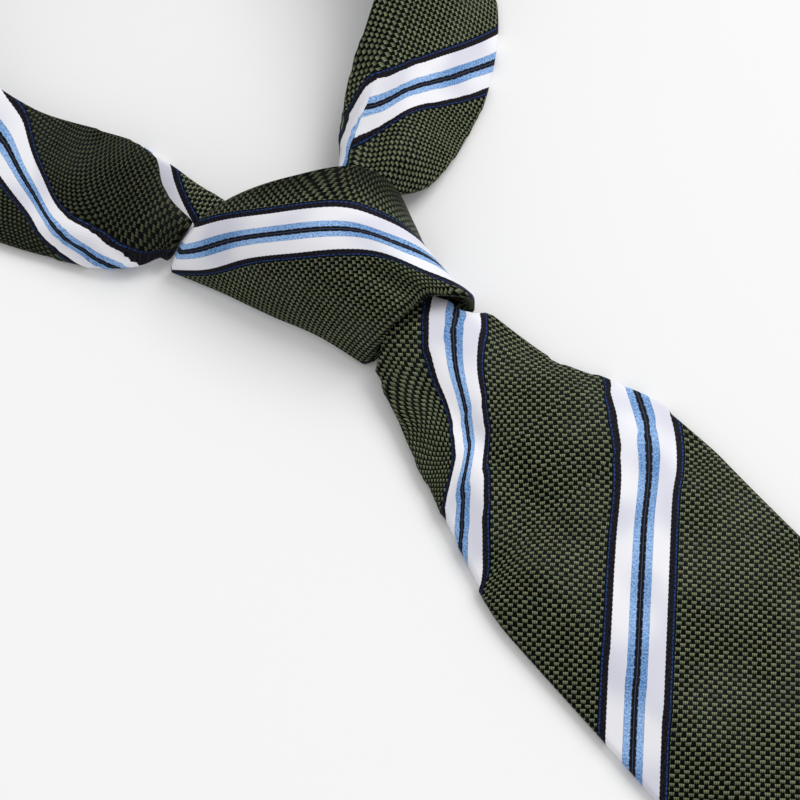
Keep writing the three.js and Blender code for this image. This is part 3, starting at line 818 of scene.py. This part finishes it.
# A copy of the strap's silk for the left strap, with painted shade towards the knot.
shaded_silk = striped_silk("striped silk with painted shade", cell=0.76, pitch=42.0, tone=0.93, shade_near_knot=0.38)
neck_right = band_piece("neck_right_silk", neck_band, 0.0, seams[0] - SEAM_GAP, CLOTH,
                        stripes_of(STRIPE_COLUMNS, NECK_RIGHT_STRIPES), strap_silk, (0.0, 1.0),
                        (STRAP_CREASE, 1.0, stripes_of(STRIPE_COLUMNS, STRAP_FACET_STRIPES)))
finish_band(neck_right, "neck_right")
neck_back = band_piece("neck_back_silk", neck_band, seams[0] + SEAM_GAP, seams[1] - SEAM_GAP,
                       CLOTH, stripes_of(STRIPE_COLUMNS, NECK_BACK_STRIPES), strap_silk,
                       (1.0, 1.0))
finish_band(neck_back, "neck_back")
neck_left = band_piece("neck_left_silk", neck_band, seams[1] + SEAM_GAP, neck_length, CLOTH,
                       stripes_of(STRIPE_COLUMNS, NECK_LEFT_STRIPES), shaded_silk, (1.0, 0.0),
                       fold_shade=PAINTED_FOLD_SHADE)
finish_band(neck_left, "neck_left")

# KNOT PASS
# The inner turn of the same folded silk: it comes up beside the left strap and goes down inside
# the knot, which holds it. Its outer end lies behind the strap.

PASS_ROWS = [
    (-18, 48, 2, 6, 2, 0, 0, 0, 0, 0, 8, 0),
    (-17.3, 38, 2, 8.5, 2, 0, 0, -8, 0, 0, 8, 0.3),
    (-15.4, 28, 1.5, 7.5, 1.5, 5, 2, -15, 5, 0, 8, 3.6),
    (-12.6, 19.5, 1.5, 5, 1.5, 10, 0, -10, 10, 0, 8, 7.4),
    (-4, 9, 2, 10, 2, 10, 0, -10, 10, 0, 8, 9.8),
]
PASS_STRIPES = [(0, -3.5, 0.857, 0.0), (16, 4.6, 0.857, 0.0), (50, 21.6, 0.857, 0.0)]
pass_band = band_of(PASS_ROWS)
knot_pass = band_piece("knot_pass_silk", pass_band, 0.0, pass_band["at"][-1], CLOTH,
                       stripes_of(STRIPE_COLUMNS, PASS_STRIPES), strap_silk)
finish_band(knot_pass, "knot_pass")

# KNOT WRAP
# The turn of the wide end across the front of the knot: a sleeve round the rest, open at both
# rims, high over the crest, falling in a long facet to the left wing, with its back on the table.

WRAP_CLOTH = 2.6

# A row is one ring of the sleeve, t from its lower rim to its upper one: its left and right sides,
# its height, where its crest lies between them and how it falls from there to the left.
WRAP_COLUMNS = ("t", "left", "right", "height", "crest", "fall")
WRAP_ROWS = [
    (0, -11.2, 14.2, 16, 0.2, 1.7),
    (0.25, -14.0, 13.4, 18, 0.2, 1.4),
    (0.5, -18.7, 13.9, 19.5, 0.25, 1.3),
    (0.75, -23.0, 16.0, 20.3, 0.3, 1.4),
    (1, -28.0, 18.4, 20.4, 0.42, 1.55),
]

# The sleeve's outline: how it falls on the right, how square it is, and where its sides meet the
# floor. Then its length and the steps of its mesh.
WRAP_RIGHT_FALL = 0.75
WRAP_SQUARENESS = 0.9
WRAP_FOOT_RISE = 0.1
WRAP_FOOT_PART = 0.94
WRAP_LENGTH = 43.0
WRAP_RINGS = 40
WRAP_SIDES = 84
WRAP_FLOOR_SIDES = 24
FLOOR_CLOTH = (1.0, 30.0)
RIM_ROLL = 1.3

# Both rims bend towards the right, where the lower one is thinned to a lip. The dent is a soft
# crease that runs up from the lower rim.
LOWER_RIM = {"y": -20.5, "drop": -5.6, "begins": 0.55, "ends": 1.0}
UPPER_RIM = {"y": 23.3, "drop": -18.5, "begins": 0.1, "ends": 1.25}
RIM_LEAN = {"drop": -8.0, "begins": 0.7, "ends": 1.0}
WRAP_DENT = {"depth": 1.3, "at": 0.56, "lean": -0.35, "half_width": 0.09, "fades": 0.15,
             "ends": 0.55}
LIP = {"across": 0.7, "reach": 0.2, "thinned": 0.4}

# The stripes by their distance over the crest. PLAIN_CLOTH is halfway from stripe to stripe.
PLAIN_CLOTH = 21.0
KNOT_COLUMNS = ("at", "stripe", "slant")
KNOT_STRIPES = [
    (-42, -30.0, 1.241),
    (-32, -19.9, 1.165),
    (-22, -12.4, 1.045),
    (-12, -5.3, 0.892),
    (-4, -1.4, 0.755),
    (1, 0.7, 0.628),
    (6, 3.1, 0.500),
    (12, 4.9, 0.500),
    (22, 7.6, 0.640),
]
KNOT_STRIPE_LINE = 23.0
wrap_table = table_of(WRAP_COLUMNS, WRAP_ROWS)
knot_stripes = stripes_of(KNOT_COLUMNS, KNOT_STRIPES)


def rim_bend(shape, part):
    """How far a rim has dropped at a place across the knot."""
    return shape["drop"] * ease((part - shape["begins"]) / (shape["ends"] - shape["begins"]))


def wrap_points(t, part, rise, inset):
    """Points of the sleeve: t from the lower to the upper rim, part across it, rise up from its
    floor, inset into the cloth."""
    left = follow(wrap_table, "left", t, key="t")
    right = follow(wrap_table, "right", t, key="t")
    height = follow(wrap_table, "height", t, key="t")
    across = (part + 1.0) / 2.0
    lower = LOWER_RIM["y"] + rim_bend(LOWER_RIM, across)
    upper = UPPER_RIM["y"] + rim_bend(UPPER_RIM, across) + rim_bend(RIM_LEAN, across) * (1.0 - rise)
    thin = ease((across - LIP["across"]) / (1.0 - LIP["across"])) * ease(1.0 - t / LIP["reach"])
    inset = inset * (1.0 - LIP["thinned"] * thin)
    off = (across - WRAP_DENT["at"] - WRAP_DENT["lean"] * t) / WRAP_DENT["half_width"]
    keep = ease((WRAP_DENT["ends"] - t) / (WRAP_DENT["ends"] - WRAP_DENT["fades"]))
    dent = WRAP_DENT["depth"] * np.exp(-off**2) * keep
    return np.stack([(left + right) / 2.0 + ((right - left) / 2.0 - inset) * part,
                     lower + (upper - lower) * t,
                     inset + (height - 2.0 * inset - dent) * rise], -1)


def wrap_ring(t, inset):
    """One ring of the sleeve, over its front and back along its floor: its points, and how far
    each lies from the crest along the cloth."""
    turn = np.linspace(0.0, 1.0, WRAP_SIDES + 1)
    t_over = np.full(turn.shape, t)
    crest = follow(wrap_table, "crest", t_over, key="t")
    fall = follow(wrap_table, "fall", t_over, key="t")
    angle = math.pi * (1.0 - turn)
    reach = np.abs(np.cos(angle)) ** WRAP_SQUARENESS
    on_left = turn < 0.5
    part = np.where(on_left, crest - (1.0 + crest) * reach, crest + (1.0 - crest) * reach)
    rise = np.abs(np.sin(angle)) ** np.where(on_left, fall, WRAP_RIGHT_FALL)
    rise = WRAP_FOOT_RISE + (1.0 - WRAP_FOOT_RISE) * rise
    over = wrap_points(t_over, part, rise, inset)
    skin = wrap_points(t_over, part, rise, 0.0)
    arc = np.concatenate([[0.0], np.cumsum(np.linalg.norm(np.diff(skin, axis=0), axis=1))])
    arc = arc - arc[WRAP_SIDES // 2]
    floor_part = WRAP_FOOT_PART * (1.0 - 2.0 * np.linspace(0.0, 1.0, WRAP_FLOOR_SIDES + 1))
    t_floor = np.full(floor_part.shape, t)
    floor = wrap_points(t_floor, floor_part, np.zeros(floor_part.shape), inset)
    floor_arc = arc[-1] + np.linspace(*FLOOR_CLOTH, WRAP_FLOOR_SIDES + 1)
    return np.concatenate([over, floor]), np.concatenate([arc, floor_arc])


ring_points = []
ring_places = []
for k in range(2 * WRAP_RINGS):
    outside = k < WRAP_RINGS
    along = (WRAP_RINGS - k if outside else k - WRAP_RINGS) / WRAP_RINGS
    from_rim = min(along, 1.0 - along) * WRAP_LENGTH
    full = math.sqrt(1.0 - (1.0 - from_rim / RIM_ROLL) ** 2) if from_rim < RIM_ROLL else 1.0
    points, arc = wrap_ring(along, WRAP_CLOTH / 2.0 * (1.0 + (-1.0 if outside else 1.0) * full))
    cloth = cloth_place(knot_stripes, arc, along * WRAP_LENGTH - KNOT_STRIPE_LINE)
    if not outside:
        # The wrong side of the silk is plain, so it takes its colour from between the stripes.
        plain = math.copysign(PLAIN_CLOTH, along - 0.5)
        cloth[:, 0] += (plain - cloth[:, 0]) * ease(from_rim / RIM_ROLL / 2.0)
    ring_points.append(points)
    ring_places.append(cloth)
wrap_size = len(ring_points[0])
wrap_faces = []
wrap_uv = []
for i in range(2 * WRAP_RINGS):
    after = (i + 1) % (2 * WRAP_RINGS)
    for j in range(wrap_size):
        k = (j + 1) % wrap_size
        wrap_faces.append((i * wrap_size + j, after * wrap_size + j,
                           after * wrap_size + k, i * wrap_size + k))
        for ring, corner in ((i, j), (after, j), (after, k), (i, k)):
            wrap_uv.append(ring_places[ring][corner])
# The knot's copy of the silk, with painted shade over the upper part of the knot.
knot_silk = striped_silk("knot striped silk", cell=0.78, pitch=42.0, tone=0.78,
                         shade_past=(9.0, 4.0, 0.65))
knot = mesh_object("knot_wrap_silk", np.concatenate(ring_points), wrap_faces, wrap_uv, knot_silk)
finish_band(knot, "knot_wrap")

# TABLE, LIGHT AND CAMERA
# A plain pale table, one large soft light from the upper right and an even sky, and the camera at
# the photograph's angle.

TABLE_HALF = 3.0
TABLE_COLOUR = (0.84, 0.84, 0.84, 1.0)
TABLE_ROUGHNESS = 0.9
TABLE_GLOSS = 0.1
SKY_COLOUR = (1.0, 1.0, 1.0, 1.0)
SKY_STRENGTH = 0.72
WINDOW_PLACE = (2.1, 0.18, 2.1)
WINDOW_SIZE = 1.7
WINDOW_POWER = 54.0
CAMERA_AZIMUTH = -42.0
CAMERA_ELEVATION = 70.0
CAMERA_DISTANCE = 0.378
CAMERA_LENS = 85.0
CAMERA_SENSOR = 36.0
CAMERA_NEAREST = 0.01
CAMERA_TARGET = (-0.012083, -0.031524, 0.006)

table_mesh = bpy.data.meshes.new("table")
table_mesh.from_pydata([(x * TABLE_HALF, y * TABLE_HALF, 0.0)
                        for x, y in ((-1, -1), (1, -1), (1, 1), (-1, 1))], [], [(0, 1, 2, 3)])
table_finish = bpy.data.materials.new("pale table")
table_finish.use_nodes = True
table_shader = table_finish.node_tree.nodes["Principled BSDF"]
table_shader.inputs["Base Color"].default_value = TABLE_COLOUR
table_shader.inputs["Roughness"].default_value = TABLE_ROUGHNESS
table_shader.inputs["Specular IOR Level"].default_value = TABLE_GLOSS
table_mesh.materials.append(table_finish)
table = bpy.data.objects.new("table", table_mesh)
scene = bpy.context.scene
scene.collection.objects.link(table)

scene.view_settings.view_transform = "Standard"
scene.view_settings.look = "None"
world = bpy.data.worlds.new("even sky")
world.use_nodes = True
world.node_tree.nodes["Background"].inputs["Color"].default_value = SKY_COLOUR
world.node_tree.nodes["Background"].inputs["Strength"].default_value = SKY_STRENGTH
scene.world = world


def aim(lamp_or_camera, place, back):
    """Stands a lamp or a camera at a place. It looks the opposite way to back, top upwards."""
    back = back / np.linalg.norm(back)
    right = np.cross((0.0, 0.0, 1.0), back)
    right = right / np.linalg.norm(right)
    up = np.cross(back, right)
    rows = [(right[i], up[i], back[i], place[i]) for i in range(3)]
    lamp_or_camera.matrix_world = Matrix(rows + [(0, 0, 0, 1)])
    scene.collection.objects.link(lamp_or_camera)


window_data = bpy.data.lights.new("window", "AREA")
window_data.shape = "SQUARE"
window_data.size = WINDOW_SIZE
window_data.energy = WINDOW_POWER
window = bpy.data.objects.new("window", window_data)
aim(window, WINDOW_PLACE, np.array(WINDOW_PLACE))

camera_data = bpy.data.cameras.new("camera")
camera_data.lens = CAMERA_LENS
camera_data.sensor_width = CAMERA_SENSOR
camera_data.clip_start = CAMERA_NEAREST
camera = bpy.data.objects.new("camera", camera_data)
turn = math.radians(CAMERA_AZIMUTH)
tilt = math.radians(CAMERA_ELEVATION)
camera_back = np.array([math.sin(turn) * math.cos(tilt), -math.cos(turn) * math.cos(tilt),
                        math.sin(tilt)])
aim(camera, np.array(CAMERA_TARGET) + camera_back * CAMERA_DISTANCE, camera_back)
scene.camera = camera
